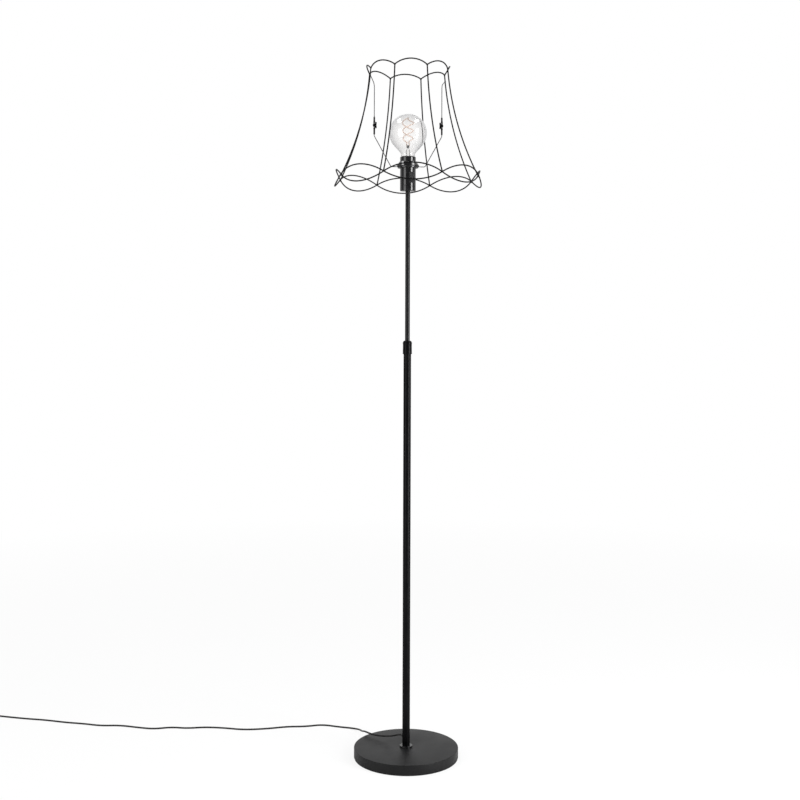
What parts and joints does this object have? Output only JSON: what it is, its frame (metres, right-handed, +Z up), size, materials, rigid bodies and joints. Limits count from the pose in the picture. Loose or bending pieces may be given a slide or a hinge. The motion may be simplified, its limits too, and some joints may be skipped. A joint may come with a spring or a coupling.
{
  "type": "floor lamp",
  "caption": "Floor lamp with a weighted round base, a telescopic pole with a twist collar, a switched lampholder with a globe bulb, and a bare scalloped wire cage that tilts",
  "frame": {"origin": "centre of the round base, on the floor", "axes": "+Z up along the pole, +Y to the back and -Y to the picture's camera, +X to the camera's right; the cord leaves to the left and back"},
  "size_m": [1.4133, 0.4835, 1.7272],
  "materials": {
    "base_paint": "fine matte texture, near black",
    "black_paint": "satin black powder coat",
    "cage_paint": "satin black powder coat on wire",
    "zinc_steel": "zinc plated, dull",
    "concrete": "cast concrete",
    "felt_pad": "thin foam rubber sheet",
    "black_nylon": "moulded, satin",
    "holder_black": "glossy thermoset",
    "switch_grey": "glossy",
    "cord_pvc": "soft PVC sheath, satin",
    "porcelain": "unglazed white",
    "contact_brass": "plain",
    "nickel_brass": "nickel plated",
    "lamp_cap": "bright",
    "clear_glass": "clear, thin",
    "stem_glass": "clear",
    "cap_insulator": "black glass",
    "filament": "silicone coated, pale pink"
  },
  "bodies": {
    "stand": {"base_cover": "base_paint", "base_weight": "concrete", "base_pad": "felt_pad", "base_washer": "zinc_steel", "base_bolt": "zinc_steel", "foot_insert": "zinc_steel", "foot_ring": "black_paint", "lower_tube": "black_paint", "cord_grommet": "black_nylon", "collar_insert": "black_nylon", "collet": "black_nylon", "slack_lead": "cord_pvc", "cord_free": "cord_pvc", "cord_coil": "cord_pvc", "coil_tie": "black_nylon", "plug_body": "black_nylon", "plug_pins": "nickel_brass"},
    "clamp_collar": {"clamp_collar": "black_paint"},
    "guide_bush": {"guide_bush": "black_nylon"},
    "mast": {"inner_tube": "black_paint", "inner_lead": "cord_pvc", "mast_nipple": "zinc_steel", "holder_cap": "holder_black", "holder_shell": "holder_black", "holder_insert": "porcelain", "screw_shell": "contact_brass", "centre_contact": "contact_brass", "terminal_screws": "contact_brass", "switch_module": "black_nylon", "support_ring": "holder_black", "gimbal_ring": "zinc_steel", "gimbal_arm_left": "zinc_steel", "gimbal_arm_right": "zinc_steel", "lower_knuckle_left": "black_paint", "lower_knuckle_right": "black_paint"},
    "switch_rocker": {"switch_rocker": "switch_grey"},
    "shade_ring": {"shade_ring": "holder_black"},
    "cage": {"upper_knuckle_left": "black_paint", "upper_knuckle_right": "black_paint", "pivot_screws": "zinc_steel", "pivot_nuts": "zinc_steel", "suspension_wire_left": "zinc_steel", "suspension_wire_right": "zinc_steel", "top_ring": "cage_paint", "wave_wire_inner": "cage_paint", "wave_wire_outer": "cage_paint", "rib_1": "cage_paint", "rib_2": "cage_paint", "rib_3": "cage_paint", "rib_4": "cage_paint", "rib_5": "cage_paint", "rib_6": "cage_paint", "rib_7": "cage_paint", "rib_8": "cage_paint"},
    "bulb": {"bulb_glass": "clear_glass", "bulb_cap": "lamp_cap", "bulb_insulator": "cap_insulator", "bulb_contact": "contact_brass", "bulb_stem": "stem_glass", "bulb_filament": "filament"}
  },
  "joints": [
    {"name": "collar_twist", "type": "hinge", "parent": "stand", "child": "clamp_collar", "pos_m": [0, 0, 1.02], "axis": [0, 0, 1], "range_deg": [0, 270]},
    {"name": "mast_height", "type": "slide", "parent": "stand", "child": "guide_bush", "axis": [0, 0, 1], "range_m": [-0.36, 0.12], "deforming": ["slack_lead"]},
    {"name": "mast_swivel", "type": "hinge", "parent": "guide_bush", "child": "mast", "pos_m": [0, 0, 1.02], "axis": [0, 0, 1], "range_deg": [-180, 180]},
    {"name": "switch_rock", "type": "hinge", "parent": "mast", "child": "switch_rocker", "pos_m": [0.00873, -0.01642, 1.447], "axis": [0.8829, 0.4695, 0], "range_deg": [0, 16]},
    {"name": "shade_ring_turn", "type": "hinge", "parent": "mast", "child": "shade_ring", "pos_m": [0, 0, 1.48], "axis": [0, 0, 1], "range_deg": [0, 360]},
    {"name": "bulb_turn", "type": "hinge", "parent": "mast", "child": "bulb", "pos_m": [0, 0, 1.48], "axis": [0, 0, 1], "range_deg": [0, 360]},
    {"name": "shade_tilt", "type": "hinge", "parent": "mast", "child": "cage", "pos_m": [0, 0, 1.578], "axis": [0.9979, 0.0645, 0], "range_deg": [-40, 40]}
  ]
}
